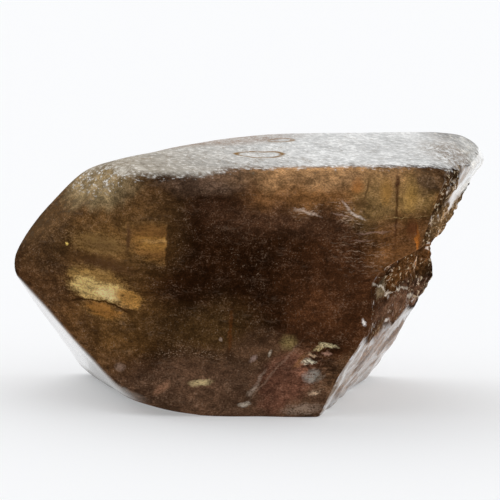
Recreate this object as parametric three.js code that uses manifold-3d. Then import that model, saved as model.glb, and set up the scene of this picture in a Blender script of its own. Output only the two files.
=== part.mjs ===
// A rough zircon crystal, lying on one of its long faces: a square prism that ends in a four-sided
// pyramid at one end and in a break at the other, with its old edges worn round.
//
// Everything is in millimetres. X runs along the crystal from its tip to its break, Y from its front
// to its rear and Z up from the face that it lies on.

import * as THREE from 'three';
import { ImprovedNoise } from 'three/addons/math/ImprovedNoise.js';
import { mergeVertices } from 'three/addons/utils/BufferGeometryUtils.js';
import Module from 'manifold-3d';

// Driving dimensions
const DEPTH = 6.0; // front face to rear face
const HEIGHT = 6.3; // lower face to upper face, above the middle of the length
const TIP_X = -6.45; // where the four pyramid faces would meet if nothing were worn
const TIP_Z = 3.35; // the tip's height
const AXIS_RATIO = 0.905; // zircon's c/a, which sets how steep the pyramid is
const UPPER_TAPER = 1.6; // degrees by which the upper face rises towards the break
const WEAR = 0.3; // how far from a sharp edge the rounding of the old edges begins
const FRESH = 0.12; // the same for the younger edges of the break

const vector = (x, y, z) => new THREE.Vector3(x, y, z);
const { clamp, degToRad, lerp, smoothstep } = THREE.MathUtils;

// Flat faces. Each is a plane: its outward normal and its distance from the origin.
const plane = (normal, point) => {
  const n = normal.clone().normalize();
  return { n, distance: n.dot(point) };
};
const tip = vector(TIP_X, 0, TIP_Z);
const pyramidFace = (y, z) => plane(vector(-1, y * AXIS_RATIO, z * AXIS_RATIO), tip);
const oldFaces = [
  plane(vector(0, -1, 0), vector(0, -DEPTH / 2, 0)),
  plane(vector(0, 1, 0), vector(0, DEPTH / 2, 0)),
  plane(vector(-Math.tan(degToRad(UPPER_TAPER)), 0, 1), vector(0, 0, HEIGHT)),
  plane(vector(0, 0, -1), vector(0, 0, -0.03)),
  pyramidFace(-1, 0),
  pyramidFace(1, 0),
  pyramidFace(0, 1),
  pyramidFace(0, -1),
  // The corner that is missing above and behind the tip, worn to two gentle slopes
  plane(vector(-0.226, 0.226, 0.948), vector(-2.8, 0, HEIGHT - 0.05)),
  plane(vector(-0.6, 0.6, 0.54), vector(-4.9, 1.1, 5.06)),
  // The worn slope between the lower face and the pyramid
  plane(vector(-0.3, -0.1, -0.95), vector(-2.4, -3, 0)),
  // The worn beak that ends the upper face above the break
  plane(vector(0.5, -0.2, 0.84), vector(6.5, 3, 6.36)),
  plane(vector(0.92, -0.3, 0.26), vector(6.88, 3, 5.85)),
];

// The break, by how far along the crystal it lies on the front face and on the rear face at each
// height. Its ledge sticks out over a flat scar on the front side.
const breakRows = [
  { z: 0, front: 1.1, rear: 4.15 },
  { z: 1.0, front: 1.65, rear: 4.95 },
  { z: 1.95, front: 2.2, rear: 5.35 },
  { z: 2.6, front: 2.35, rear: 5.6 },
  { z: 3.3, front: 2.4, rear: 5.65 },
  { z: 3.95, front: 2.75, rear: 5.9 },
  { z: 4.3, front: 3.6, rear: 6.0 },
  { z: 5.2, front: 3.85, rear: 6.6 },
  { z: 6.5, front: 4.3, rear: 7.5 },
];
const BREAK_SLOPE = 1.2; // how much longer a step along X is than one square to the break
const noise = new ImprovedNoise();
const HACKLY_FROM = 2.0; // the break is hackly above this height and smooth, like a shell, below it
const HACKLY_TO = 4.8; // and smooth again above this one
const HACKLY_FADE = 0.4;
function lumps(y, z) {
  const hackly =
    smoothstep(z, HACKLY_FROM - HACKLY_FADE, HACKLY_FROM) * smoothstep(-z, -HACKLY_TO - HACKLY_FADE, -HACKLY_TO);
  const broad = 0.16 * noise.noise(y * 1.1, z * 1.1, 2.5);
  const fine = 0.14 * noise.noise(y * 2.3, z * 2.3, 7.5);
  return broad + fine * hackly;
}

function breakX(y, z) {
  const above = breakRows.findIndex((row) => row.z > z);
  const upper = above === -1 ? breakRows.length - 1 : Math.max(above, 1);
  const [low, high] = breakRows.slice(upper - 1, upper + 1);
  const up = (z - low.z) / (high.z - low.z);
  const front = lerp(low.front, high.front, up);
  const rear = lerp(low.rear, high.rear, up);
  return lerp(front, rear, y / DEPTH + 0.5) + lumps(y, z);
}

// Scoops: the shell-shaped hollows that chips leave. Each is part of a sphere that bites into the
// surface at a point, against the outward direction given, to a depth.
const scoop = (point, outward, radius, depth) => ({
  centre: point.clone().addScaledVector(outward.clone().normalize(), radius - depth),
  radius,
});
const scoops = [
  scoop(vector(-3.0, -3, 0.1), vector(-0.1, -0.6, -0.8), 1.2, 0.16),
  scoop(vector(0.2, 3, 0), vector(0, 0.8, -0.6), 1.8, 0.4),
];

// Rounded maximum of two distances: it blends over the given width, and is the plain maximum beyond.
const roundedMax = (a, b, width) => {
  const h = Math.max(width - Math.abs(a - b), 0) / width;
  return Math.max(a, b) + (h * h * width) / 4;
};

const unevenness = (p) => 0.035 * noise.noise(p.x * 0.7, p.y * 0.7, p.z * 0.7 + 5);

// How far outside the stone a point is. It is negative inside.
function outside(p) {
  let old = -Infinity;
  for (const face of oldFaces) old = roundedMax(old, face.n.dot(p) - face.distance, WEAR);
  old += unevenness(p);
  let fresh = (p.x - breakX(p.y, p.z)) / BREAK_SLOPE;
  for (const s of scoops) fresh = roundedMax(fresh, s.radius - p.distanceTo(s.centre), FRESH);
  return roundedMax(old, fresh, FRESH);
}

// The surface: a box of grid points is laid over the prism, with one end at the pyramid's shoulder and
// the other on the break, and each point slides to the surface along a ray from inside.
const ALONG = 28;
const ACROSS = 26;
const CROWDING = 1.25; // radians: how much closer the grid's lines are near the prism's edges
const END_CROWDING = 0.8; // the same near its ends
const AXIS_Z = HEIGHT / 2;
const SHOULDER_X = TIP_X + (AXIS_RATIO * DEPTH) / 2;
const AXIS_FROM = SHOULDER_X + 1;
const AXIS_TO = 2;
const crowd = (t, angle) => Math.sin(t * angle) / Math.sin(angle);

// The rays fan out from the crystal's axis, and turn parallel to it over the middle of each end.
function slideToSurface(x, y, z, inward) {
  const anchor = vector(clamp(x, AXIS_FROM, AXIS_TO), y * inward, AXIS_Z + (z - AXIS_Z) * inward);
  const ray = vector(x, y, z).sub(anchor).normalize();
  const at = (r) => anchor.clone().addScaledVector(ray, r);
  let inner = 0;
  while (outside(at(inner + 0.1)) < 0) inner += 0.1;
  let outer = inner + 0.1;
  for (let i = 0; i < 20; i++) {
    const middle = (inner + outer) / 2;
    if (outside(at(middle)) < 0) inner = middle;
    else outer = middle;
  }
  return at(inner);
}

function stoneGeometry() {
  const geometry = new THREE.BoxGeometry(2, 2, 2, ALONG, ACROSS, ACROSS);
  geometry.deleteAttribute('normal');
  geometry.deleteAttribute('uv');
  const grid = geometry.getAttribute('position');
  const points = [];
  for (let i = 0; i < grid.count; i++) {
    const y = (crowd(grid.getY(i), CROWDING) * DEPTH) / 2;
    const z = AXIS_Z + (crowd(grid.getZ(i), CROWDING) * HEIGHT) / 2;
    const x = lerp(SHOULDER_X, breakX(y, z), (crowd(grid.getX(i), END_CROWDING) + 1) / 2);
    const inward = 1 - Math.max(Math.abs(grid.getY(i)), Math.abs(grid.getZ(i)));
    points.push(slideToSurface(x, y, z, inward));
  }
  points.forEach((point, i) => grid.setXYZ(i, point.x, point.y, point.z));

  // Each square of the grid is split along the diagonal that lies closer to the surface.
  const misfit = (a, b) => Math.abs(outside(points[a].clone().lerp(points[b], 0.5)));
  const index = geometry.index.array;
  for (let i = 0; i < index.length; i += 6) {
    const [a, b, d, , c] = index.subarray(i, i + 5);
    if (misfit(a, c) < misfit(b, d)) index.set([a, b, c, a, c, d], i);
  }
  return mergeVertices(geometry, 1e-4);
}

// The lower face is cut truly flat, so that the stone rests on it.
const wasm = await Module();
wasm.setup();
const solid = (geometry) => {
  const merged = mergeVertices(geometry, 1e-4);
  return new wasm.Manifold(new wasm.Mesh({
    numProp: 3,
    vertProperties: new Float32Array(merged.getAttribute('position').array),
    triVerts: new Uint32Array(merged.index.array),
  }));
};
function cutFlat(geometry) {
  const below = new THREE.BoxGeometry(40, 40, 10).translate(0, 0, -5);
  below.deleteAttribute('normal');
  below.deleteAttribute('uv');
  const cut = solid(geometry).subtract(solid(below)).getMesh();
  const result = new THREE.BufferGeometry();
  result.setAttribute('position', new THREE.BufferAttribute(cut.vertProperties, 3));
  result.setIndex(new THREE.BufferAttribute(cut.triVerts, 1));
  return result;
}

// The origin is on the lower face, under the middle of the stone's box.
const geometry = cutFlat(stoneGeometry());
geometry.computeBoundingBox();
const middle = geometry.boundingBox.getCenter(new THREE.Vector3());

const stone = new THREE.Mesh(
  geometry,
  new THREE.MeshStandardMaterial({ color: 0x5a3b22, roughness: 0.35, metalness: 0 }),
);
stone.name = 'crystal';
stone.position.set(-middle.x, -middle.y, 0);

const part = new THREE.Group();
part.add(stone);
export default part;
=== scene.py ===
# %% [markdown]
# # A rough zircon crystal
#
# A zircon crystal as it comes out of river gravel: a square prism with a four-sided pyramid at one end
# and a break at the other. Its old faces are frosted by wear, its break is young and glossy, and light
# comes through its thin parts.
#
# The solid frame is loaded first, and its box is kept, because the finished stone has to fit in it.

# %% The frame
import math

import bmesh
import bpy
from mathutils import Matrix, Vector, noise


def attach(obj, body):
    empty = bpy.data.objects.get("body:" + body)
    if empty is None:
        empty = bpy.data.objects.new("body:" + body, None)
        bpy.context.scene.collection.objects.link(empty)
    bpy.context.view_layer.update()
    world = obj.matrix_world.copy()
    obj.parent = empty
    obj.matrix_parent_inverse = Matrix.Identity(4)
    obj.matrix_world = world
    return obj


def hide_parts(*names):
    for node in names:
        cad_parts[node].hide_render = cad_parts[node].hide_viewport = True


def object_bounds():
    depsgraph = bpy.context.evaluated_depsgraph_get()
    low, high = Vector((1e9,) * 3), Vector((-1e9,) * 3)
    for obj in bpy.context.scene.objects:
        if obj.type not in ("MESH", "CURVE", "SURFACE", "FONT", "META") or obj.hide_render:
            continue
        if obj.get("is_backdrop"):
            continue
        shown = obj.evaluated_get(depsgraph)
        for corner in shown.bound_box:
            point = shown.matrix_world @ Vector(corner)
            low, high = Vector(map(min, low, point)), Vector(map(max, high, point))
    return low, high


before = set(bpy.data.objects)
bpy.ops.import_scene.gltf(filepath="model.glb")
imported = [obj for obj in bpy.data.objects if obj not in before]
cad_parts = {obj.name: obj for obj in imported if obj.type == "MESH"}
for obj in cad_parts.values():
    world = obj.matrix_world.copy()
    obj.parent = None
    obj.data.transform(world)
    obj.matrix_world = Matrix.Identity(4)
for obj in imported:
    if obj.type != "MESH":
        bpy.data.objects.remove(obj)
cad_low, cad_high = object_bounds()
MM = 0.001
length, depth, height = (cad_high - cad_low) / MM
print(f"frame: {length:.2f} x {depth:.2f} x {height:.2f} mm")

# %% [markdown]
# ## The camera
#
# A stone this small is seen from close by through a long lens, so its far edges look no smaller than
# its near ones. The camera could be placed by eye. Here it is built from three angles, because then the
# view is easy to reason about: how far round it stands, how far up, and how far it leans.

# %% Camera
ROUND, UP, LEAN = (math.radians(angle) for angle in (-15.5, 9.5, 3.3))
LENS = 800  # mm, in front of a sensor 36 mm wide
VIEW_WIDTH = 12.74 * MM
MIDDLE_RIGHT, MIDDLE_UP = -0.115 * MM, 3.71 * MM  # the view's middle, from the frame's origin

to_camera = Vector((math.sin(ROUND) * math.cos(UP), -math.cos(ROUND) * math.cos(UP), math.sin(UP)))
level_right = Vector((math.cos(ROUND), math.sin(ROUND), 0))
level_up = to_camera.cross(level_right)
right = level_right * math.cos(LEAN) + level_up * math.sin(LEAN)
up = level_up * math.cos(LEAN) - level_right * math.sin(LEAN)

camera_data = bpy.data.cameras.new("camera")
camera_data.lens = LENS
camera_data.clip_start = 1 * MM
camera = bpy.data.objects.new("camera", camera_data)
camera_place = Matrix((right, up, to_camera)).transposed().to_4x4()
looks_at = right * MIDDLE_RIGHT + up * MIDDLE_UP
camera_place.translation = looks_at + to_camera * VIEW_WIDTH * LENS / camera_data.sensor_width
camera.matrix_world = camera_place
bpy.context.scene.collection.objects.link(camera)
bpy.context.scene.camera = camera
print(f"camera: {(camera_place.translation - looks_at).length / MM:.0f} mm from the stone")

# %% [markdown]
# ## A finer copy of the solid
#
# The frame's solid has the right form, but its triangles are as big as the facets of the break. A
# remesh would make them small and round off every corner. Cutting the long edges in half, again and
# again, keeps the corners where they are, and gives the break finer triangles than the plain faces.

# %% The stone's mesh
MERGE_WITHIN = 0.0005 * MM
stone_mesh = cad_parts["crystal"].data.copy()
stone_mesh.name = "zircon"
stone_mesh.materials.clear()
stone = bpy.data.objects.new("zircon", stone_mesh)
bpy.context.scene.collection.objects.link(stone)

shape = bmesh.new()
shape.from_mesh(stone_mesh)
bmesh.ops.remove_doubles(shape, verts=shape.verts, dist=MERGE_WITHIN)
print(f"solid: {len(shape.faces)} triangles")

# %% How fine it has to be
BREAK_OUTWARD = Vector((0.81, -0.425, -0.405))  # the way that the break faces
BREAK_MIDDLE = Vector((3.95, 0, 3.3))  # mm
BREAK_HOLLOW = 0.35  # mm: how far behind its middle plane the break's surface may lie
CHIPPED = (
    # middle and reach (mm) of the chips low on the front, and of the shallow flakes beside the break
    (Vector((0.4, -3.0, 1.1)), 1.3),
    (Vector((2.0, -3.0, 4.5)), 1.6),
)
BREAK_EDGE, CHIP_EDGE, PLAIN_EDGE = 0.055, 0.08, 0.17  # mm


def wanted_edge(p):
    """The length (mm) that the mesh's edges should have at a point."""
    past_break = (p - BREAK_MIDDLE).dot(BREAK_OUTWARD)
    if past_break > -BREAK_HOLLOW:
        return BREAK_EDGE
    near_chips = any((p - middle).length < reach for middle, reach in CHIPPED)
    return CHIP_EDGE if near_chips else PLAIN_EDGE


# %% Refining
REFINING_ROUNDS = 4
SQUARE_PER_AREA = 2.3  # the square on an even triangle's edge is this many times its area


def edge_length(face):
    """The length (mm) of a triangle's edges, if it were an even one."""
    return math.sqrt(SQUARE_PER_AREA * face.calc_area()) / MM


for _ in range(REFINING_ROUNDS):
    large_faces = [
        face for face in shape.faces if edge_length(face) > wanted_edge(face.calc_center_median() / MM)
    ]
    edges = list(dict.fromkeys(edge for face in large_faces for edge in face.edges))  # each one once
    bmesh.ops.subdivide_edges(shape, edges=edges, cuts=1, use_grid_fill=True)
    bmesh.ops.triangulate(shape, faces=[face for face in shape.faces if len(face.verts) > 3])
print(f"refined: {len(shape.faces)} triangles")

# %% [markdown]
# ## Wear
#
# River gravel rounds a crystal's corners a little and leaves its faces almost flat. A few rounds of
# smoothing do the same to the mesh. The face that the stone lies on is left out, so it stays flat.
#
# The mesh also gets four layers of numbers, one number for each point. The break fills them in later,
# and the material reads them.

# %% Wear
LAYERS = ("broken", "facet", "crest", "rough")
WEAR_ROUNDS = 5
REST_HEIGHT = 0.005 * MM  # what is lower belongs to the face that the stone lies on
for name in LAYERS:
    shape.verts.layers.float.new(name)
free = [vert for vert in shape.verts if vert.co.z > REST_HEIGHT]


def smooth(verts, rounds):
    """Move each point halfway towards the middle of its neighbours, a number of times."""
    for _ in range(rounds):
        bmesh.ops.smooth_vert(
            shape, verts=verts, factor=0.5, use_axis_x=True, use_axis_y=True, use_axis_z=True
        )


smooth(free, WEAR_ROUNDS)
shape.normal_update()
print(f"worn: {len(free)} of {len(shape.verts)} points")

# %% [markdown]
# ## The break
#
# Zircon has no good cleavage, so it breaks like glass where the break ran fast and in small tilted
# steps where it ran slowly. The steps could be carved one by one. Here the surface is cut into cells
# around scattered points, and each cell is a small plane with a tilt and a height of its own, because
# that gives hundreds of steps that all differ.

# %% Tilted steps
SEED = 3
TILT_DRAW, STEP_DRAW, TONE_DRAW = 7.3, 5.1, 31.7  # they keep the random values of a cell apart
CELL_SLOPE, CELL_STEP = 0.6, 0.3  # how steep the cells are, and how much their heights differ
AT_EDGE, OFF_EDGE = 0.02, 0.22  # how much further off the next cell is, in cell sizes
noise.seed_set(SEED)  # without a seed the tilts differ from one run to the next


def fade(value, start, end):
    """0 at start, 1 at end, and a smooth step between them."""
    t = min(max((value - start) / (end - start), 0), 1)
    return t * t * (3 - 2 * t)


def tilted_cells(p, size):
    """A surface of tilted cells of a size (mm): its height at p, a random tone of the cell from 0 to
    1, and how near (0 to 1) p is to the cell's edge."""
    distances, points = noise.voronoi(p / size)
    cell = points[0]
    tilt = noise.noise_vector(cell * TILT_DRAW)
    rise = (tilt.dot(p / size - cell) * CELL_SLOPE + noise.noise(cell * STEP_DRAW) * CELL_STEP) * size
    near_edge = 1 - fade(distances[1] - distances[0], AT_EDGE, OFF_EDGE)
    return rise, noise.cell(cell * TONE_DRAW), near_edge


# %% [markdown]
# The smooth parts of the break have long low ribs, like those inside a broken shell. They run with the
# break, so the noise that makes them is stretched along it. The rough part is a band across the middle
# with a rim above its front end. A ledge crosses it: the steps are coarse above the ledge and fine
# below it. Above the break the upper face ends in a worn beak, which is rough too.

# %% Ribs
RIB_ALONG = Vector((0.60, 0.71, 0.36))
RIB_ACROSS = BREAK_OUTWARD.cross(RIB_ALONG).normalized()
RIB_LENGTH, RIB_WIDTH, RIB_DEPTH = 2.5, 0.3, 0.09  # mm


def ribs(p):
    """The height (mm) of the ribs at a point."""
    along, across = p.dot(RIB_ALONG) / RIB_LENGTH, p.dot(RIB_ACROSS) / RIB_WIDTH
    return noise.noise(Vector((along, across, 0))) * RIB_DEPTH


# %% Where it is broken, and where rough
ROUGH_FROM, ROUGH_TO = 1.95, 5.0  # mm up the stone
BEAK_BROKEN = 0.7  # how broken the beak is, from 0 to 1


def at_beak(p):
    """1 on the beak, 0 away from it."""
    return fade(p.z, 6.0, 6.15) * fade(p.x, 4.6, 5.3)


def how_broken(p, outward):
    """1 where the face has broken away, 0 on the old faces, and between them on the worn beak."""
    faces_right = fade(outward.x, 0.45, 0.7)
    right_of_middle = fade(p.x, 0, 0.5)
    return max(faces_right * right_of_middle, BEAK_BROKEN * at_beak(p))


def how_rough(p, wander):
    """1 on the rough part, whose borders wander by some mm, and 0 on the smooth parts."""
    band = fade(p.z + wander, ROUGH_FROM - 0.1, ROUGH_FROM + 0.1)
    band *= fade(-p.z - wander, -ROUGH_TO - 0.2, -ROUGH_TO)
    rim = fade(-p.y + wander, 1.2, 1.5) * fade(p.z, ROUGH_TO - 0.2, ROUGH_TO)
    return max(band, rim, at_beak(p))


# %% The break's surface
LEDGE = 2.75  # mm up the stone, in its middle
LEDGE_FALL = 0.233  # how much lower the ledge lies for each mm to the rear
FINE, FAINT = 0.35, 0.05  # how high the steps are below the ledge and on the smooth parts, at most 1
LARGE_CELL, SMALL_CELL = 0.42, 0.15  # mm
WANDER, WANDERS_PER_MM = 0.5, 0.9  # mm by which the borders wander, and how often
BREAK_ROUNDS = 2  # of smoothing
broken_layer, facet_layer, crest_layer, rough_layer = shape.verts.layers.float.values()
for vert in free:
    p = vert.co / MM
    broken = how_broken(p, vert.normal)
    if not broken:
        continue
    wander = noise.noise(p * WANDERS_PER_MM) * WANDER
    rough = how_rough(p, wander)
    large, large_tone, large_edge = tilted_cells(p, LARGE_CELL)
    small, small_tone, small_edge = tilted_cells(p, SMALL_CELL)
    over_ledge = p.z + p.y * LEDGE_FALL - LEDGE
    jagged = rough * (FINE + (1 - FINE) * fade(over_ledge + wander * 0.5, -0.1, 0.1))
    rise = (large + small) * (FAINT + (1 - FAINT) * jagged) + ribs(p) * (1 - rough)
    vert.co += BREAK_OUTWARD * rise * broken * MM
    vert[broken_layer] = broken
    vert[facet_layer] = 0.4 * large_tone + 0.6 * small_tone
    vert[crest_layer] = rough * max(small_edge * 0.7, large_edge)
    vert[rough_layer] = rough
on_break = [vert for vert in free if vert[broken_layer]]
smooth(on_break, BREAK_ROUNDS)
print(f"break: {len(on_break)} points")

# %% [markdown]
# ## Chips
#
# Low on the front, beside the break, small flakes have come off. A flake leaves a hollow like the
# inside of a shallow dish with a sharp rim. It could be cut out with a boolean. Here each hollow is a
# ball that bites into the surface, and the points inside the ball are pushed out onto it, because that
# keeps the mesh whole.

# %% Chips
CHIPS = (
    # where it bites (mm), outward, the ball's radius and the bite's depth (mm)
    ((-0.05, -3.0, 0.95), (0.1, -1.0, -0.1), 2.4, 0.10),
    ((0.72, -3.0, 1.08), (0.3, -1.0, 0.1), 0.8, 0.06),
    ((1.0, -3.0, 1.75), (0.1, -1.0, 0.5), 0.5, 0.07),
    ((0.55, -3.0, 1.5), (-0.2, -1.0, 0.3), 0.35, 0.06),
    ((0.65, -3.0, 0.55), (0.3, -1.0, -0.2), 0.7, 0.06),
    ((1.5, -3.0, 2.1), (0.5, -1.0, 0.2), 0.5, 0.05),
    ((3.3, -3.0, 4.2), (0.6, -1.0, -0.2), 0.7, 0.08),
    ((1.45, -3.0, 5.15), (-0.1, -1.0, 0.15), 2.2, 0.06),
    ((2.45, -3.0, 3.75), (0.1, -1.0, 0.1), 2.0, 0.07),
    ((2.0, -3.0, 4.6), (0.1, -1.0, -0.2), 1.0, 0.05),
)
for where, outward_way, radius, bite in CHIPS:
    ball = Vector(where) + Vector(outward_way).normalized() * (radius - bite)
    for vert in free:
        away = vert.co / MM - ball
        if away.length < radius:
            vert.co = (ball + away.normalized() * radius) * MM
print(f"chips: {len(CHIPS)}")

# %% [markdown]
# ## The finished stone
#
# The old faces should look even, and the steps of the break and the rims of the chips should look
# sharp. Smooth shading everywhere would blur the steps, and flat shading would show every triangle.
# So the mesh is shaded smooth, with sharp edges wherever two triangles meet at a clear angle.

# %% Finished mesh
SHARP_ANGLE = math.radians(28)
shape.to_mesh(stone_mesh)
shape.free()
stone_mesh.shade_smooth()
stone_mesh.set_sharp_from_angle(angle=SHARP_ANGLE)

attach(stone, "root")
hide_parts("crystal")
print(f"stone: {len(stone_mesh.polygons)} triangles")

# %% [markdown]
# ## A way to write materials
#
# A material is a graph of nodes, and sums drawn as nodes are hard to read. So a small class stands for
# one value of the graph: adding or multiplying such values adds the Math node that does it. Every
# other node comes from one method.

# %% Values and nodes
class Value:
    """A socket whose value changes over the surface. Sums on it add Math nodes."""

    def __init__(self, finish, socket):
        self.finish = finish
        self.socket = socket

    def math(self, operation, first, second):
        """Add a Math node that works on two values or numbers."""
        return self.finish.node("Math", {"operation": operation}, {0: first, 1: second})

    def __add__(self, other):
        return self.math("ADD", self, other)

    def __radd__(self, other):
        return self.math("ADD", other, self)

    def __sub__(self, other):
        return self.math("SUBTRACT", self, other)

    def __rsub__(self, other):
        return self.math("SUBTRACT", other, self)

    def __mul__(self, other):
        return self.math("MULTIPLY", self, other)

    def __rmul__(self, other):
        return self.math("MULTIPLY", other, self)

    def __or__(self, other):
        return self.math("MAXIMUM", self, other)


class Finish:
    """A material whose nodes are added one call at a time."""

    def __init__(self, name):
        self.material = bpy.data.materials.new(name)
        self.material.use_nodes = True
        self.tree = self.material.node_tree
        self.tree.nodes.clear()

    def node(self, kind, settings, sockets, out=0):
        """Add a node, apply its settings, fill its sockets, and return one of its outputs."""
        node = self.tree.nodes.new("ShaderNode" + kind)
        for name, setting in settings.items():
            setattr(node, name, setting)
        for name, value in sockets.items():
            if isinstance(value, Value):
                self.tree.links.new(value.socket, node.inputs[name])
            else:
                node.inputs[name].default_value = value
        return Value(self, node.outputs[out]) if node.outputs else None

    def mix(self, amount, colour, other):
        """The colour where the amount is 0, and the other one where it is 1."""
        return self.node("Mix", {"data_type": "VECTOR"}, {0: amount, 4: colour, 5: other}, out=1)

    def shade(self, colour, amount):
        """The colour, made lighter or darker by an amount."""
        return self.node("VectorMath", {"operation": "SCALE"}, {0: colour, "Scale": amount})

    def fade(self, value, start, end, low=0, high=1):
        """low up to start, high from end on, and a smooth step between them."""
        sockets = {"Value": value, "From Min": start, "From Max": end, "To Min": low, "To Max": high}
        return self.node("MapRange", {"interpolation_type": "SMOOTHSTEP"}, sockets)

    def noise(self, place, size, detail=3, roughness=0.55, warp=0):
        """Soft random values around 0.5, in patches of a size in mm, given along each axis."""
        stretched = self.node("Mapping", {"vector_type": "TEXTURE"}, {0: place, "Scale": size})
        sockets = {"Vector": stretched, "Scale": 1, "Detail": detail, "Roughness": roughness}
        return self.node("TexNoise", {}, sockets | {"Distortion": warp})

    def spot(self, place, centre, size, turn, soft):
        """1 in an egg-shaped space, 0 outside it. A turn (degrees) lifts its right end."""
        sockets = {0: place, "Location": centre, "Rotation": (0, -math.radians(turn), 0), "Scale": size}
        inside = self.node("Mapping", {"vector_type": "TEXTURE"}, sockets)
        away = self.node("VectorMath", {"operation": "LENGTH"}, {0: inside}, out="Value")
        return self.fade(away, 1 + soft, 1 - soft)


# %% [markdown]
# ## Colours
#
# A colour is easiest to choose as it should look on a screen. Blender wants the pigment instead: the
# share of each light that comes back, which the screen's own curve hides. The stone's front also gets
# less than full light. So one function undoes the curve and makes up for the missing light.

# %% Colours
FRONT_LIGHT = 0.62  # how much of full light falls on the stone's front


def tone(red, green, blue):
    """The pigment that looks like this screen colour (0 to 255) in the light on the stone's front."""
    light = [((c / 255 + 0.055) / 1.055) ** 2.4 for c in (red, green, blue)]
    return tuple(amount / FRONT_LIGHT for amount in light)


DARK = tone(33, 17, 6)
print("the dark core's pigment:", [round(amount, 3) for amount in DARK])

# %% [markdown]
# ## Places and grain
#
# Everything on the stone is placed in millimetres. Its marks have ragged outlines, so they are laid
# out on a place that noise has pushed about a little.

# %% Places
zircon = Finish("zircon")
metres = zircon.node("TexCoord", {}, {}, out="Object")
outward = zircon.node("TexCoord", {}, {}, out="Normal")
place = zircon.node("VectorMath", {"operation": "SCALE"}, {0: metres, "Scale": 1 / MM})


def pushed(vector, size, by, detail=3):
    """A place moved about at random by up to about half of `by` (mm), in patches of a size (mm)."""
    sockets = {"Vector": vector, "Scale": 1 / size, "Detail": detail, "Roughness": 0.6}
    push = zircon.node("TexNoise", {}, sockets, out="Color")
    push = zircon.node("VectorMath", {"operation": "SUBTRACT"}, {0: push, 1: (0.5, 0.5, 0.5)})
    push = zircon.node("VectorMath", {"operation": "SCALE"}, {0: push, "Scale": by})
    return zircon.node("VectorMath", {"operation": "ADD"}, {0: vector, 1: push})


def axis(vector, name):
    """One of the three numbers of a place or a colour."""
    return zircon.node("SeparateXYZ", {}, {0: vector}, out=name)


def attribute(name):
    """The numbers of one of the mesh's layers."""
    return zircon.node("Attribute", {"attribute_name": name}, {}, out="Fac")


ragged = pushed(place, 0.2, 0.16)
wavy = pushed(ragged, 0.45, 0.4)
loose = pushed(ragged, 0.9, 0.9)
x, y, z = (axis(place, name) for name in "XYZ")
upward = axis(outward, "Z")

# %% [markdown]
# The stone is mottled at every scale, from broad clouds down to a grain that is only just visible. One
# noise with much detail would look the same everywhere. So there are several, each with its own size
# along each axis (mm), and the finishes below mix them as they need.

# %% Grain
clouds = zircon.noise(place, (0.9, 0.9, 0.9), detail=5, roughness=0.6)
mottle = zircon.noise(place, (0.22, 0.4, 0.16), detail=6, roughness=0.72, warp=0.4)
grain = zircon.noise(place, (0.05, 0.05, 0.035), detail=2, roughness=0.6)
streaks = zircon.noise(ragged, (0.4, 0.4, 0.08), detail=4, roughness=0.65, warp=0.4)
patches = zircon.noise(place, (0.7, 0.7, 0.35), detail=3)
broken, facet, crest, rough = (attribute(name) for name in LAYERS)
print(f"places and grain: {len(zircon.tree.nodes)} nodes")
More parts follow.
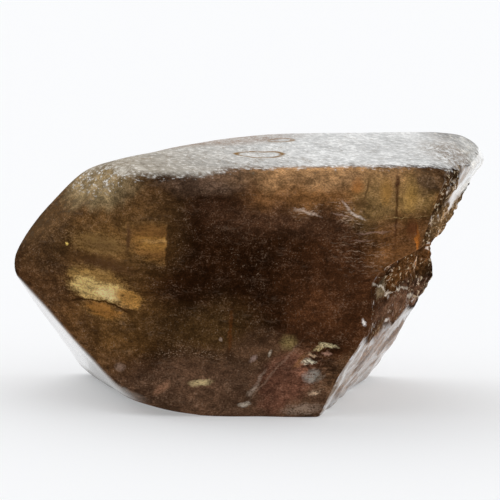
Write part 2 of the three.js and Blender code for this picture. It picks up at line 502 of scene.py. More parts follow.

# %% [markdown]
# ## The brown body
#
# Zircon takes its brown from traces of other elements and from slow damage by its own weak radiation,
# and the colour changes from one growth zone to the next. Light that comes through the thin parts
# makes them paler still, and the thick core is almost black. A volume with patches of its own colour
# could do that, but it is slow and hard to steer. Here each zone is an egg-shaped space in the stone
# with a soft border, and the zones are laid over each other on the dark core. The paler zones at the
# tip and along the thin upper edge are partly painted light that comes through, and the pale facet
# high on the break is a painted reflection.

# %% Body colours and painted light
ZONES_AND_LIGHT = (
    # centre (mm), half-size (mm), turn (degrees), softness, colour
    # the paler zones of the pyramid are partly painted light that comes through the tip
    ((-5.3, -1.8, 3.3), (1.3, 3.0, 3.4), 0, 0.5, tone(62, 41, 23)),  # the pyramid
    ((-4.9, -2.0, 2.0), (0.8, 1.5, 0.8), 0, 0.6, tone(76, 51, 28)),
    ((-5.6, 0.8, 4.5), (1.0, 2.4, 1.3), 0, 0.4, tone(62, 44, 26)),
    ((-5.0, 2.3, 2.8), (1.2, 1.2, 2.0), 0, 0.6, tone(84, 58, 32)),
    ((-3.9, -3.0, 5.3), (0.8, 1.5, 0.7), 0, 0.7, tone(72, 50, 28)),
    ((-4.5, -2.4, 4.3), (1.2, 1.5, 0.9), 0, 0.7, tone(80, 56, 29)),
    ((-4.3, -2.6, 2.4), (1.0, 1.5, 0.9), 0, 0.7, tone(76, 52, 26)),
    ((-4.7, -1.0, 5.6), (0.9, 2.0, 0.40), 25, 0.6, tone(104, 88, 62)),
    ((-2.2, -3.0, 2.2), (1.2, 1.0, 0.7), 0, 0.7, tone(58, 40, 20)),
    ((-1.2, -3.0, 0.5), (3.4, 2.0, 1.0), 0, 0.5, tone(78, 56, 41)),  # the lower edge
    ((-0.6, -3.0, 1.6), (1.0, 1.0, 0.5), 0, 0.5, tone(74, 52, 36)),
    ((1.5, -3.0, 3.2), (1.5, 2.0, 1.7), 0, 0.6, tone(64, 38, 21)),  # towards the break
    ((0.0, -3.0, 5.2), (2.2, 1.0, 0.5), 0, 0.7, tone(62, 40, 26)),
    # the upper edge: its amber zones are partly painted light that comes through the thin edge
    ((-2.2, -3.0, 6.05), (1.2, 1.0, 0.35), 0, 0.6, tone(84, 64, 50)),  # the upper edge
    ((1.5, -3.0, 5.75), (2.4, 1.0, 0.5), 0, 0.6, tone(112, 76, 43)),
    ((1.0, -3.0, 6.15), (2.1, 1.0, 0.32), 0, 0.7, tone(142, 107, 72)),
    ((2.1, -3.0, 5.5), (0.6, 1.0, 0.7), 0, 0.7, tone(104, 80, 48)),
    ((3.05, -3.0, 5.65), (0.45, 1.0, 0.5), 0, 0.6, tone(124, 96, 56)),
    ((3.45, -3.0, 6.05), (0.35, 0.8, 0.25), 0, 0.6, tone(70, 52, 35)),
    ((2.8, -3.0, 4.4), (0.9, 1.2, 0.7), 0, 0.6, tone(92, 60, 33)),
    ((-0.05, -3.0, 0.9), (0.85, 1.0, 0.7), 35, 0.3, tone(88, 57, 43)),  # the lower chip
    ((5.0, 0.0, 4.5), (1.6, 4.2, 1.5), 0, 0.4, tone(122, 94, 62)),  # the break
    ((4.2, 0.4, 3.4), (2.0, 3.8, 0.55), 0, 0.4, tone(96, 62, 32)),
    ((3.9, 0.4, 2.4), (2.2, 3.8, 0.40), 0, 0.3, tone(86, 60, 44)),
    ((3.2, 0.0, 1.0), (2.6, 4.2, 0.95), 0, 0.3, tone(104, 75, 51)),
    ((2.5, -2.1, 3.2), (0.25, 0.6, 0.3), 0, 0.5, tone(122, 104, 78)),
    # the pale facet high on the break is a painted reflection
    ((5.9, 1.4, 5.7), (1.2, 2.2, 0.8), 0, 0.3, tone(176, 174, 168)),
)
body = DARK
for centre, size, turn, soft, colour in ZONES_AND_LIGHT:
    body = zircon.mix(zircon.spot(loose, centre, size, turn, soft), body, colour)

# Each noise makes the body darker where it is low and lighter where it is high.
LOW, HIGH = 0.3, 0.7
shading = zircon.fade(mottle, LOW, HIGH, 0.55, 1.5) * zircon.fade(clouds, LOW, HIGH, 0.7, 1.3)
shading = shading * zircon.fade(streaks, LOW, HIGH, 0.9, 1.1) * zircon.fade(grain, LOW, HIGH, 0.68, 1.34)
body = zircon.shade(body, shading)
# Painted light and shade of the break's facets: one tone for each, as if each faced the light its own
# way
facet_light_and_shade = zircon.fade(facet, 0.1, 0.9, 0.55, 1.45)
print(f"zones: {len(ZONES_AND_LIGHT)}")

# %% [markdown]
# The rough part of the break is a crumble of tiny facets, each light or dark by the way that it faces.
# The mesh has the larger ones, and their light and shade is painted on them as well. The smaller ones
# are cells of one painted tone each, in two sizes, light or dark as if lit, and the few that face the
# light get painted highlights that are nearly white. Below the ledge they are faint.

# %% Crumbs of the rough break
CHUNK, CRUMB = 0.13, 0.06  # mm
CRUMB_HIGHLIGHT = tone(200, 182, 152)


def chunk_tone(size):
    """A random tone (0 to 1) for each of the cells of a size (mm) that the surface is cut into."""
    colours = zircon.node("TexVoronoi", {}, {"Vector": ragged, "Scale": 1 / size}, out="Color")
    return axis(colours, "X")


chunks, crumbs = chunk_tone(CHUNK), chunk_tone(CRUMB)

# The ledge is the same one as in the mesh, with a border that wanders.
over_ledge = axis(loose, "Z") + y * LEDGE_FALL - LEDGE
jagged = rough * zircon.fade(over_ledge, -0.1, 0.1, FINE, 1)
crumb_light_and_shade = facet_light_and_shade * zircon.fade(chunks, 0, 1, 0.75, 1.25) * zircon.fade(crumbs, 0, 1, 0.7, 1.3)
body = zircon.mix(broken * jagged, body, zircon.shade(body, crumb_light_and_shade))

# Painted highlights on the few crumbs that face the light
crumb_highlights = zircon.fade(crumbs * 0.6 + chunks * 0.4, 0.78, 0.84) * jagged
body = zircon.mix(crumb_highlights * 0.5, body, CRUMB_HIGHLIGHT)
print(f"crumbs: {CHUNK} and {CRUMB} mm")

# %% [markdown]
# ## Painted highlights on the ribs of the smooth break
#
# Light runs along the ribs of a young break in long pale streaks, and here the streaks are painted
# highlights. The mesh has the ribs themselves, but a real break has many finer ones, too fine to model.
# Their highlights are noise on a place that is measured along the ribs and across them, so that it is
# stretched the way that they run. A few bare spots keep them from looking combed, and a painted fringe
# of light follows the break's border.

# %% Painted rib highlights
RIB_REFLECTION_GREY, RIB_REFLECTION_WHITE = tone(152, 136, 120), tone(228, 231, 234)
STREAK_LENGTH, STREAK_WIDTH = 1.6, 0.2  # mm


def along_way(way, size):
    """How far a point lies along a direction, in steps of a size (mm)."""
    return zircon.node("VectorMath", {"operation": "DOT_PRODUCT"}, {0: wavy, 1: way / size}, out="Value")


along, across = along_way(RIB_ALONG, STREAK_LENGTH), along_way(RIB_ACROSS, STREAK_WIDTH)
ribbed = zircon.node("CombineXYZ", {}, {0: along, 1: across})
satin = zircon.noise(ribbed, (1, 1, 1), detail=3, roughness=0.55)
rib_cover = zircon.noise(ribbed, (0.7, 3, 1), detail=2)

BARE = (
    # where the smooth break has no painted rib highlights: centre and half-size (mm)
    ((2.98, -0.54, 1.47), (0.55, 0.8, 0.33)),
    ((2.43, -1.02, 1.00), (0.40, 0.6, 0.20)),
    ((1.90, -1.40, 0.45), (0.45, 0.7, 0.10)),
)
BARE_TURN, BARE_SOFTNESS = 30, 0.4

# The ribs shine more towards the front, under the rough part and at the foot of the break.
more_shine = zircon.fade(y, -1.0, -2.6) * 0.12 + zircon.fade(z, 1.55, 1.85) * 0.15
more_shine = more_shine + zircon.fade(z, 0.9, 0.2) * 0.15
shine = zircon.fade(satin + (rib_cover - 0.5) * 0.9 + more_shine, 0.42, 0.58)
for centre, size in BARE:
    shine = shine * (1 - zircon.spot(ragged, centre, size, BARE_TURN, BARE_SOFTNESS) * 0.8)

# The fringe's painted highlight is brightest where the stone is half broken, which is along the border.
fringe_highlight = broken * (1 - broken) * 3.5
rib_highlights = (shine * broken * 0.42 | fringe_highlight * 0.8) * (1 - rough)
rib_highlight_colour = zircon.mix(zircon.fade(satin, 0.45, 0.65), RIB_REFLECTION_GREY, RIB_REFLECTION_WHITE)
# The ribs' painted highlights, laid on the body
body = zircon.mix(rib_highlights, body, rib_highlight_colour)
print(f"ribs: {len(zircon.tree.nodes)} nodes so far")

# %% [markdown]
# ## Windows
#
# Near the tip, light enters at the back and leaves towards the eye, and the stone lights up in gold
# patches with straight edges: windows. Clear glass alone would show them, but upside down, in pieces
# and elsewhere. So each window is painted light: a golden spot in the skin's colour, where the cloudy
# skin is also thinner, and the gold is streaked and grainy, as it is when it is seen through growth
# layers.

# %% Laying marks over each other
def laid_over(marks, reach):
    """Marks laid over each other, each an amount and a colour, as one amount and one colour. A mark's
    colour is full where its amount has reached `reach`."""
    marks = iter(marks)
    amount, colour = next(marks)
    for next_amount, next_colour in marks:
        colour = zircon.mix(zircon.fade(next_amount, 0, reach), colour, next_colour)
        amount = amount | next_amount
    return amount, colour


# %% Windows
WINDOWS = (
    # centre (mm), half-size (mm), turn (degrees), softness, colour
    ((-4.80, -2.0, 4.25), (0.66, 1.4, 0.27), 0, 1, tone(112, 84, 43)),
    ((-3.75, -3.0, 4.72), (0.62, 1.4, 0.24), 0, 0.7, tone(100, 70, 34)),
    ((-3.60, -3.0, 4.40), (0.74, 1.4, 0.44), -12, 0.7, tone(126, 86, 40)),
    ((-3.66, -3.0, 4.42), (0.58, 1.2, 0.22), 0, 1, tone(156, 112, 52)),
    ((-3.64, -3.0, 4.47), (0.46, 1.2, 0.05), 0, 1, tone(186, 142, 82)),
    ((-5.27, -1.6, 3.42), (0.20, 1.2, 0.13), -30, 1, tone(118, 94, 50)),
    ((-4.80, -2.0, 3.18), (0.74, 1.2, 0.46), -8, 0.8, tone(150, 114, 58)),
    ((-5.02, -1.9, 3.10), (0.40, 1.2, 0.28), -6, 1, tone(208, 178, 112)),
    ((-4.55, -2.4, 3.05), (0.42, 1.0, 0.24), -8, 1, tone(212, 182, 116)),
    ((-4.62, -2.4, 3.00), (0.26, 1.0, 0.13), -8, 1, tone(232, 208, 146)),
    ((-4.20, -2.9, 2.98), (0.32, 1.0, 0.22), -20, 1, tone(176, 128, 62)),
    ((-4.72, -2.3, 2.58), (0.44, 1.0, 0.20), -14, 1, tone(142, 94, 34)),
)
GLASS, WINDOW_GLASS = tone(110, 75, 42), tone(220, 190, 140)
RIGHT_END = -3.4  # mm along the stone, where a growth layer cuts the windows off

# How much the skin hides: nearly all in front, and less at the rear, where light comes in
cloud = zircon.fade(clouds * 0.5 + mottle * 0.5, 0.35, 0.6, 0.97, 1.0)
cloud = cloud * (1 - zircon.fade(y, 1, 2.8) * (1 - broken) * 0.35)

# The windows' own light and dark, and the raggedness of their borders
glimmer = zircon.fade(mottle * 0.4 + grain * 0.6, 0.33, 0.67, 0.5, 1.4)
glimmer = glimmer * zircon.fade(streaks, 0.35, 0.65, 0.72, 1.25)
border = (mottle - 0.5) * 0.5 + (grain - 0.5) * 0.4 + (streaks - 0.5) * 0.6
right_end = zircon.fade(axis(ragged, "X"), RIGHT_END + 0.07, RIGHT_END)

# %% [markdown]
# A curved crack inside the stone ends the lower window, and light catches on it from below. It could be
# a thin sheet inside the glass. The skin would hide that, so it is a line on the skin: a parabola, dark
# where the height above it is close to nothing.

# %% The curved crack
CRACK_TOP = (-4.83, 2.80)  # mm, along the stone and up
CRACK_BEND = 0.43  # per mm
along_crack = axis(ragged, "X") - CRACK_TOP[0]
over_crack = axis(ragged, "Z") - CRACK_TOP[1] + along_crack * along_crack * CRACK_BEND
crack = zircon.fade(over_crack, -0.05, -0.01) * zircon.fade(over_crack, 0.04, 0.01)
crack = crack * zircon.fade(x, -5.5, -5.3) * zircon.fade(x, -4.05, -4.3) * zircon.fade(y, 0, -0.6)
print(f"crack: its top is {CRACK_TOP[1]} mm up")

# %% Windows laid on
lit, glow = laid_over((
    (zircon.fade(zircon.spot(ragged, centre, size, turn, soft) + border, 0.2, 0.95), colour)
    for centre, size, turn, soft, colour in WINDOWS
), reach=1)
lit = lit * right_end
cloud = cloud * (1 - lit * 0.5)
# The windows' light, painted into the skin's colour
body = zircon.mix(lit, body, zircon.shade(glow, glimmer))
glass_colour = zircon.mix(lit, GLASS, zircon.shade(WINDOW_GLASS, glimmer))
print(f"windows: {len(WINDOWS)}")

# %% [markdown]
# ## Scratches and specks
#
# Gravel leaves fine scratches and pale nicks all over the old faces. They are too small to cut into the
# mesh, and an image of them would repeat. Here they are the peaks of stretched and of fine noise, faint
# nearly everywhere and strong in a few places.

# %% Scratches and specks
PALE, GLINT = tone(165, 140, 118), tone(220, 214, 206)
grains = zircon.noise(place, (0.045, 0.045, 0.045), detail=3, roughness=0.7)

# Scratches: faint ones in patches, and strong ones in three places
scratched = zircon.spot(loose, (0.16, -3.0, 5.28), (0.32, 0.8, 0.16), 0, 0.5)
scratched = scratched | zircon.spot(loose, (1.35, -3.0, 5.22), (0.48, 0.8, 0.24), -25, 0.5)
scratched = scratched | zircon.spot(loose, (1.8, -3.0, 4.3), (0.8, 0.8, 0.5), 0, 0.7) * 0.5
hairs = zircon.noise(ragged, (0.22, 0.22, 0.035), detail=3, roughness=0.7, warp=0.6)
scratches = zircon.fade(streaks, 0.52, 0.75) * zircon.fade(patches, 0.45, 0.62) * 0.13
scratches = scratches | zircon.fade(hairs, 0.54, 0.64) * scratched * 0.8

# Specks, with more of them in a band low on the front, and finer nicks between them
specks = zircon.fade(grain, 0.52, 0.72) * zircon.fade(mottle * 0.5 + patches * 0.5, 0.44, 0.62) * 0.18
speckled = zircon.spot(loose, (-2.5, -3.0, 1.6), (1.0, 0.8, 0.12), 0, 0.6)
specks = specks | zircon.fade(grain, 0.57, 0.66) * speckled * 0.5
nicks = zircon.fade(grains, 0.57, 0.66) * zircon.fade(mottle, 0.46, 0.6) * 0.28
specks = specks | nicks
body = zircon.mix(scratches | specks, body, PALE)

# Glints on the crests of the break's steps
glints = crest * zircon.fade(facet, 0.45, 0.75) * zircon.fade(mottle, 0.4, 0.55)
body = zircon.mix(glints * (1 - rough * 0.4), body, GLINT)
print(f"scratches: {len(zircon.tree.nodes)} nodes so far")

# %% [markdown]
# ## Frost and painted top light
#
# The upper side has been scoured to a pale frost, as on sea glass, and it is lit from above, so its
# pale colour is partly frost and partly painted top light. It thins out in grains over the edges, turns
# browner towards the tip, and lets a little of the body through. It could follow a painted mask. Here
# it follows the way that the surface faces, as the light from above does: full where it faces up, and
# broken up by noise where it turns down.

# %% Frost and painted top light
TIP_FROST_AND_LIGHT, FROST_AND_LIGHT, SPARKLE = (0.40, 0.35, 0.28), (0.74, 0.735, 0.72), (0.95, 0.94, 0.92)
FROST_FROM, FROST_FULL = 4.0, 5.0  # mm up the stone
TIP_FROST_HIGHER = 1.1  # mm, by which the frost begins higher at the tip
flecks = zircon.noise(place, (0.13, 0.22, 0.06), detail=3, roughness=0.7)
broad = zircon.noise(place, (0.5, 1.2, 0.3), detail=4, roughness=0.6)
towards_tip = zircon.fade(x, -2.6, -5.6)
near_edge = zircon.fade(y, -1.7, -3.0) * zircon.fade(x, -2.8, -1.4)

# Its colour: browner and darker towards the tip, and flecked
frost_and_light_colour = zircon.mix(zircon.fade(x, -5, 1.5), TIP_FROST_AND_LIGHT, FROST_AND_LIGHT)
frost_tone = zircon.fade(flecks, 0.32, 0.68, 0.76, 1.12) * zircon.fade(broad, 0.3, 0.7, 0.85, 1.12)
frost_and_light_colour = zircon.shade(frost_and_light_colour, frost_tone)

# Its place: the noise matters more the less the surface faces up
ragged_edge = ((flecks - 0.5) * 4 + (broad - 0.5) * 2) * (1.25 - upward)
reach = zircon.fade(x, 0.5, 2.5) * 0.12 - towards_tip * 0.3 - near_edge * 0.85
frost_and_light = zircon.fade(upward * (1 + ragged_edge) + reach, 0.25, 0.9)
frost_and_light = frost_and_light * zircon.fade(z - towards_tip * TIP_FROST_HIGHER, FROST_FROM, FROST_FULL)
frost_and_light = frost_and_light * (1 - rough * 0.5)
# The frost's pale colour, partly painted top light, laid on the body
body = zircon.mix(frost_and_light * 0.95, body, frost_and_light_colour)

# Grains that catch the light, mostly where the frost thins out
sparkles = zircon.fade(flecks, 0.57, 0.63) * frost_and_light * (1.4 - frost_and_light)
body = zircon.mix(sparkles, body, SPARKLE)
cloud = cloud | frost_and_light
print(f"frost: {len(zircon.tree.nodes)} nodes so far")

# %% [markdown]
# ## Iron stains
#
# Water that dries on a stone leaves rust in rings, and rust fills its pits and lies along its worn
# rear edge, where the dark band is partly rust and partly painted shadow. A ring could be a curve laid
# on the stone. Here it is a ball of rust with a smaller ball taken out of it, and the surface shows
# where it cuts through the shell that is left.

# %% Iron stains
RINGS = (
    # centre (mm), outer and inner radius (mm), strength
    ((-0.32, -0.36, 6.3), 0.60, 0.44, 1.0),
    ((0.74, 1.64, 6.3), 0.32, 0.20, 0.8),
)
IRON, PIT, REAR_RUST_AND_SHADOW = (0.24, 0.135, 0.045), (0.22, 0.16, 0.10), (0.22, 0.12, 0.06)
RING_SOFTNESS = 0.12
bent = pushed(place, 0.8, 0.5, detail=0)
for centre, outer, inner, strength in RINGS:
    ring = zircon.spot(bent, centre, (outer,) * 3, 0, RING_SOFTNESS)
    ring = ring * (1 - zircon.spot(bent, centre, (inner,) * 3, 0, RING_SOFTNESS))
    body = zircon.mix(ring * zircon.fade(mottle, 0.35, 0.55, 0.3, 1) * strength, body, IRON)

# Rust in the pits of the upper face, mostly towards the tip, and a band along the rear edge that is
# partly rust and partly painted shadow
pits = zircon.fade(mottle + (grain - 0.5) * 0.6, 0.42, 0.36) * zircon.fade(upward, 0.5, 0.9)
body = zircon.mix(pits * zircon.fade(x, 2.5, -1, 0.3, 0.65), body, PIT)
rear_rust_and_shadow = zircon.spot(loose, (-0.9, 2.5, 6.2), (2.2, 1.2, 0.9), 0, 0.4)
rear_rust_and_shadow = rear_rust_and_shadow * zircon.fade(mottle * 0.5 + grain * 0.5, 0.42, 0.54)
body = zircon.mix(rear_rust_and_shadow * 0.8, body, REAR_RUST_AND_SHADOW)
print(f"rings: {len(RINGS)}")

# %% [markdown]
# ## Folds in painted light and shade, and veins
#
# Around the chips the surface is folded, and the light and shade of its folds are painted. The beak
# above the break has thin brown veins. Both are bands of noise, because neither has a shape that anyone
# would remember: the folds are fine noise with more contrast, and the veins are where a noise passes
# its middle value.

# %% Painted light and shade of the chips' folds, and veins of the beak
VEIN = (0.20, 0.14, 0.09)
folded = zircon.spot(loose, (0.75, -3.0, 1.35), (0.55, 0.6, 0.6), 0, 0.5)
fold_light_and_shade = zircon.fade(hairs * 0.6 + mottle * 0.4, 0.38, 0.6, 0.5, 1.6)
body = zircon.mix(folded * 0.85, body, zircon.shade(body, fold_light_and_shade))
veined = zircon.spot(loose, (4.9, -0.7, 6.35), (0.9, 2.0, 0.3), 0, 0.5)
veins = zircon.fade(mottle, 0.42, 0.49) * zircon.fade(mottle, 0.56, 0.5)
body = zircon.mix(veined * veins * 0.8, body, VEIN)
print(f"folds and veins: {len(zircon.tree.nodes)} nodes so far")

# %% [markdown]
# ## Marks
#
# What makes this stone this one and no other is a few dozen marks: cracks, scratches, inclusions, the
# pale faces of its chips, which are partly painted highlights, a painted shadow over one chip, and
# painted highlights along the break's border. Each could be modelled as a piece of its own. But they
# lie in the stone's skin, so each is a small flat egg-shaped space with a colour. All of one kind are
# laid over each other first, and then they are laid on the stone at once, because that keeps the graph
# short.

# %% Marks
MARKS = (
    # centre (mm), half-size (mm), turn (degrees), softness, colour, strength
    # an inclusion in the lower window
    ((-4.33, -2.65, 3.02), (0.055, 0.5, 0.035), 20, 0.5, tone(30, 18, 8), 0.9),
    # the upper window's line, the veil below it, and a spark near the tip
    ((-4.28, -2.7, 4.50), (0.05, 0.8, 0.36), 0, 0.7, tone(54, 34, 22), 0.85),
    ((-4.70, -2.2, 3.74), (0.62, 1.2, 0.17), -5, 0.8, tone(48, 28, 17), 0.75),
    ((-5.51, -1.38, 4.1), (0.035, 0.3, 0.035), 0, 0.6, tone(240, 205, 110), 0.9),
    # towards the break: a straight crack, a line across it and an orange stain
    ((2.60, -3.0, 5.4), (0.035, 0.6, 0.9), 1, 0.7, tone(52, 28, 16), 0.85),
    ((2.57, -3.0, 6.05), (0.06, 0.5, 0.22), 0, 0.6, tone(48, 20, 14), 0.9),
    ((1.79, -3.0, 5.87), (0.03, 0.6, 0.34), -12, 0.8, tone(50, 30, 14), 0.7),
    ((1.66, -3.0, 5.50), (0.16, 0.6, 0.10), 0, 0.9, tone(44, 28, 14), 0.6),
    ((2.30, -3.0, 5.80), (0.14, 0.6, 0.30), 0, 0.9, tone(150, 108, 50), 0.6),
    ((2.95, -3.0, 5.66), (0.14, 0.6, 0.28), 0, 0.9, tone(158, 120, 60), 0.6),
    # scratches on the upper half
    ((0.27, -3.0, 5.26), (0.30, 0.6, 0.03), -16, 0.8, tone(190, 168, 152), 0.7),
    ((0.05, -3.0, 5.33), (0.12, 0.6, 0.02), 10, 0.8, tone(170, 150, 135), 0.7),
    ((1.30, -3.0, 5.42), (0.16, 0.6, 0.03), -45, 0.8, tone(190, 170, 155), 0.7),
    ((1.56, -3.0, 5.20), (0.22, 0.6, 0.035), -30, 0.8, tone(205, 188, 175), 0.8),
    ((1.22, -3.0, 5.18), (0.26, 0.6, 0.02), -12, 0.8, tone(150, 125, 110), 0.7),
    ((2.00, -3.0, 4.76), (0.38, 0.6, 0.025), 4, 0.8, tone(140, 112, 98), 0.6),
    ((1.75, -3.0, 4.55), (0.26, 0.6, 0.02), 0, 0.8, tone(130, 104, 90), 0.6),
    ((2.85, -3.0, 5.16), (0.6, 0.5, 0.010), 4, 0.6, tone(165, 140, 92), 0.45),
    ((3.18, -3.0, 4.72), (0.05, 0.6, 0.34), 10, 0.7, tone(140, 80, 28), 0.75),
    ((3.17, -3.0, 4.50), (0.035, 0.6, 0.20), 16, 0.7, tone(205, 118, 40), 0.6),
    ((3.02, -3.0, 4.9), (0.12, 0.5, 0.22), 0, 0.8, tone(70, 32, 18), 0.6),
    ((1.55, -3.0, 5.95), (0.14, 0.5, 0.2), 0, 0.8, tone(150, 85, 28), 0.5),
    # a pale cluster at the upper edge, near the tip
    ((-4.32, -1.7, 6.20), (0.15, 0.5, 0.22), 0, 0.9, tone(196, 192, 184), 0.7),
    ((-3.90, -2.1, 6.15), (0.10, 0.4, 0.12), 0, 0.9, tone(190, 184, 174), 0.6),
    # low on the front, from left to right
    ((-4.3, -2.72, 1.2), (0.10, 0.5, 0.10), 0, 0.8, tone(120, 100, 88), 0.6),
    ((-3.26, -3.0, 0.74), (0.24, 0.8, 0.10), 38, 0.7, tone(150, 108, 82), 0.6),
    ((-2.26, -3.0, 0.88), (0.24, 0.8, 0.075), 5, 0.8, tone(198, 178, 130), 0.8),
    ((-1.80, -3.0, 2.0), (0.05, 0.5, 0.05), 0, 0.6, tone(150, 130, 115), 0.8),
    ((-1.56, -3.0, 2.2), (0.05, 0.5, 0.5), 0, 0.8, tone(80, 40, 12), 0.6),
    ((-0.03, -3.0, 1.92), (0.18, 0.6, 0.17), 0, 0.9, tone(140, 122, 76), 0.6),
    ((-0.43, -3.0, 1.10), (1.0, 0.6, 0.03), 50, 0.8, tone(135, 110, 92), 0.45),
    ((-1.09, -3.0, 0.33), (0.14, 0.6, 0.05), 10, 0.8, tone(180, 168, 152), 0.8),
    ((-0.88, -3.0, 0.73), (0.18, 0.6, 0.06), 50, 0.9, tone(160, 142, 125), 0.8),
    ((-0.70, -3.0, 1.04), (0.20, 0.6, 0.04), 58, 0.9, tone(140, 120, 104), 0.7),
    ((-0.92, -3.0, 1.51), (0.10, 0.6, 0.06), 30, 0.9, tone(150, 128, 118), 0.7),
    ((-0.49, -3.0, 1.65), (0.07, 0.6, 0.03), 60, 0.8, tone(185, 170, 150), 0.8),
    # the border of the break: painted highlights
    ((1.92, -3.0, 2.45), (0.045, 0.5, 0.11), 20, 0.5, tone(225, 218, 212), 0.95),
    ((1.62, -2.85, 1.10), (1.0, 0.5, 0.06), 62, 0.7, tone(205, 203, 200), 0.8),
)
print(f"marks: {len(MARKS)}")

# %% Marks of the chips, with painted highlights and a painted shadow
CHIP_MARKS = (
    # centre (mm), half-size (mm), turn (degrees), softness, colour, strength
    # a painted shadow over the top chip; the palest marks below it are partly painted highlights
    ((0.93, -3.0, 1.97), (0.34, 0.6, 0.05), -8, 0.8, tone(42, 25, 12), 0.8),
    ((0.80, -3.0, 1.80), (0.16, 0.6, 0.035), 18, 0.7, tone(205, 182, 132), 0.85),
    ((1.05, -3.0, 1.85), (0.20, 0.6, 0.045), -8, 0.7, tone(228, 212, 165), 0.9),
    ((1.00, -3.0, 1.66), (0.12, 0.6, 0.05), 0, 0.8, tone(175, 135, 115), 0.8),
    ((0.62, -3.0, 1.60), (0.12, 0.6, 0.03), -10, 0.7, tone(205, 175, 140), 0.8),
    ((0.33, -3.0, 1.46), (0.20, 0.6, 0.08), 50, 0.8, tone(140, 98, 58), 0.6),
    ((0.55, -3.0, 1.43), (0.16, 0.6, 0.06), 10, 0.6, tone(228, 218, 190), 0.9),
    ((0.66, -3.0, 1.05), (0.19, 0.6, 0.15), 20, 0.8, tone(148, 150, 142), 0.75),
    ((0.86, -3.0, 1.00), (0.14, 0.6, 0.05), 35, 0.8, tone(120, 112, 100), 0.7),
    ((0.84, -3.0, 0.82), (0.20, 0.6, 0.02), 15, 0.7, tone(120, 95, 74), 0.7),
    ((0.80, -3.0, 0.74), (0.20, 0.6, 0.015), 20, 0.7, tone(120, 95, 74), 0.7),
    ((0.74, -3.0, 0.64), (0.12, 0.6, 0.04), 10, 0.8, tone(200, 172, 142), 0.85),
    ((0.45, -3.0, 0.22), (0.45, 0.6, 0.12), 5, 0.8, tone(158, 136, 118), 0.7),
)
print(f"marks of the chips: {len(CHIP_MARKS)}")

# %% Marks laid on
LEDGE_HIGHLIGHT, CRACK_LINE = tone(205, 194, 178), tone(40, 24, 10)
MARK_REACH = 0.25
torn = pushed(ragged, 0.09, 0.16)
scattered = zircon.fade(grain * 0.6 + mottle * 0.4, 0.36, 0.56, 0.25, 1)
marked, paint = laid_over((
    (zircon.spot(ragged, centre, size, turn, soft) * strength, colour)
    for centre, size, turn, soft, colour, strength in MARKS
), reach=MARK_REACH)
marked = marked * scattered
body = zircon.mix(marked, body, paint)
chipped, chip_paint = laid_over((
    (zircon.spot(torn, centre, size, turn, soft) * strength, colour)
    for centre, size, turn, soft, colour, strength in CHIP_MARKS
), reach=MARK_REACH)
chipped = chipped * zircon.fade(hairs * 0.5 + grain * 0.5, 0.4, 0.56, 0.12, 0.9)
body = zircon.mix(chipped, body, chip_paint)
cloud = cloud | marked | chipped

# The painted highlight along the ledge, and the curved crack, dark over everything
ledge_highlight = zircon.fade(over_ledge, -0.07, -0.03) * zircon.fade(over_ledge, 0.04, 0.0) * rough * scattered
body = zircon.mix(ledge_highlight * zircon.fade(patches, 0.35, 0.6, 0.2, 0.75), body, LEDGE_HIGHLIGHT)
body = zircon.mix(crack * 0.9, body, CRACK_LINE)
cloud = cloud | crack
print(f"all marks: {len(zircon.tree.nodes)} nodes so far")

# %% [markdown]
# ## The finish
#
# A rough stone is clear glass inside a cloudy, worn skin. The inside is a glass with zircon's high
# refractive index, and it absorbs blue light more than red along the way, so thick parts go brown. The
# skin is matt on the rough break and on the old faces in front, satin behind, and polished on the
# smooth break and under the tip, where a coat gives its highlights. Glass alone would be simpler, but
# it would show what lies behind the stone, sharp and upside down, which a worn stone doesn't.

# %% The finish
GLASS_IOR, SKIN_IOR, COAT_IOR = 1.92, 1.45, 1.7
GLASS_SHEEN = (0.28, 0.18, 0.12, 1)
UNDER_TIP_REFLECTION = tone(172, 162, 146)
BROWN_LIGHT = (0.75, 0.52, 0.22, 1)  # what is left of white light after a way through the stone
RELIEF = 0.03 * MM
ABSORPTION = 250  # per metre

# Fine relief, too fine for the mesh
relief = mottle * 0.6 + grain * 0.5 + streaks * 0.5 + (chunks + crumbs * 0.5) * rough * 0.8
bump = zircon.node("Bump", {}, {"Strength": 0.35, "Distance": RELIEF, "Height": relief})

# The face under the tip has kept its shine, and the little pale colour mixed into it is a faint painted
# reflection
under = zircon.fade(upward, -0.4, -0.6) * zircon.fade(x, -3.4, -4.2)
body = zircon.mix(under * 0.12, body, UNDER_TIP_REFLECTION)
cloud = cloud | under
roughness = 0.5 - broken * 0.22 + rough * 0.2 - under * 0.38

# The clear inside, the matt skin and the glossy skin, and how they are mixed
glass = zircon.node("BsdfPrincipled", {}, {
    "Base Color": glass_colour, "Roughness": roughness, "IOR": GLASS_IOR, "Transmission Weight": 1,
    "Specular Tint": GLASS_SHEEN, "Normal": bump,
})
skin = {"Base Color": body, "Roughness": roughness, "IOR": SKIN_IOR, "Normal": bump}
matte = zircon.node("BsdfPrincipled", {}, skin | {"Specular IOR Level": 0})
coat = shine * broken * 0.8 | under
glossy = zircon.node("BsdfPrincipled", {}, skin | {
    "Specular IOR Level": 0.4, "Coat Weight": coat, "Coat Roughness": 0.12, "Coat IOR": COAT_IOR,
})
gloss = (zircon.fade(y, 1, 2.5) * 0.6 | broken | under) * (1 - rough)
covered = zircon.node("MixShader", {}, {0: gloss, 1: matte, 2: glossy})
surface = zircon.node("MixShader", {}, {0: cloud, 1: glass, 2: covered})
absorb = zircon.node("VolumeAbsorption", {}, {"Color": BROWN_LIGHT, "Density": ABSORPTION})
zircon.node("OutputMaterial", {}, {"Surface": surface, "Volume": absorb})
stone_mesh.materials.append(zircon.material)
print(f"zircon: {len(zircon.tree.nodes)} nodes")

# %% [markdown]
# ## The floor
#
# The stone stands on plain white paper that runs on to the horizon, so the view has no edge behind it.
# Lit paper alone turns grey towards the front. So the paper also shines a little by itself, and keeps
# only a soft shadow under the stone.

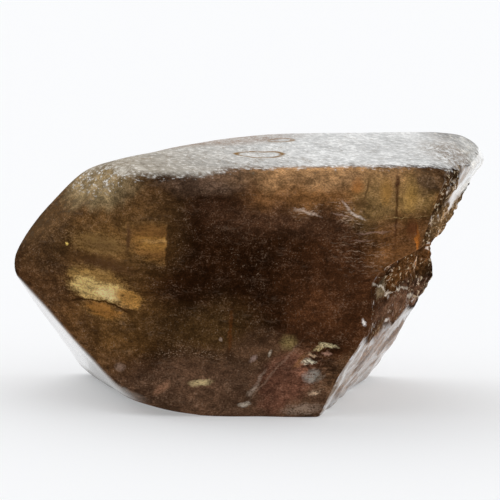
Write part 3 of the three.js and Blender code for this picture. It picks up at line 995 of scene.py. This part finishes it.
# %% Floor
FLOOR_HALF = 0.5  # m, so that its edges stay out of view
PAPER, PAPER_GLOW = (0.605, 0.60, 0.605, 1), (0.97, 0.99, 1, 1)
floor_shape = bmesh.new()
bmesh.ops.create_grid(floor_shape, x_segments=1, y_segments=1, size=FLOOR_HALF)
floor_mesh = bpy.data.meshes.new("floor")
floor_shape.to_mesh(floor_mesh)
floor_shape.free()
floor = bpy.data.objects.new("floor", floor_mesh)
bpy.context.scene.collection.objects.link(floor)
floor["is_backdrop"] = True
paper = Finish("paper")
paper_surface = paper.node("BsdfPrincipled", {}, {
    "Base Color": PAPER, "Roughness": 1, "Emission Color": PAPER_GLOW, "Emission Strength": 0.325,
})
paper.node("OutputMaterial", {}, {"Surface": paper_surface})
floor_mesh.materials.append(paper.material)
print(f"floor: {2 * FLOOR_HALF:.1f} m wide")

# %% [markdown]
# ## The light
#
# Small stones are shown in a white tent that is lit from behind, so that light comes through them.
# Lamps behind paper could do that. Here the whole world is the tent: its strength rises from dim in
# front to bright behind, and there is no lamp that could leave a hard highlight.

# %% Light
DIM, BRIGHT = 0.12, 1.38
DIM_FROM, BRIGHT_FROM = -0.9, 0.1  # how far back a direction points: -1 to the front, 1 to the rear
WHITE = (0.98, 0.99, 1, 1)
world = bpy.data.worlds.new("tent")
bpy.context.scene.world = world
world.use_nodes = True
tent = world.node_tree
direction = tent.nodes.new("ShaderNodeTexCoord").outputs["Generated"]
split = tent.nodes.new("ShaderNodeSeparateXYZ")
tent.links.new(direction, split.inputs[0])
by_depth = tent.nodes.new("ShaderNodeMapRange")
tent.links.new(split.outputs["Y"], by_depth.inputs["Value"])
by_depth.inputs["From Min"].default_value = DIM_FROM
by_depth.inputs["From Max"].default_value = BRIGHT_FROM
by_depth.inputs["To Min"].default_value = DIM
by_depth.inputs["To Max"].default_value = BRIGHT
tent.links.new(by_depth.outputs[0], tent.nodes["Background"].inputs["Strength"])
tent.nodes["Background"].inputs["Color"].default_value = WHITE
bpy.context.scene.view_settings.view_transform = "Standard"
print(f"tent: strength {DIM} in front, {BRIGHT} behind")

# %% [markdown]
# ## The size
#
# The finished stone's box is held against its solid's, and how far it reaches past it is printed.
# The finished stone may not be larger than its solid. Only wear has made it smaller, by a few
# hundredths of a millimetre.

# %% Size
visual_low, visual_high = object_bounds()
past_low, past_high = (cad_low - visual_low) / MM, (visual_high - cad_high) / MM
print("beyond the frame's box (mm):", [round(past, 3) for past in (*past_low, *past_high)])
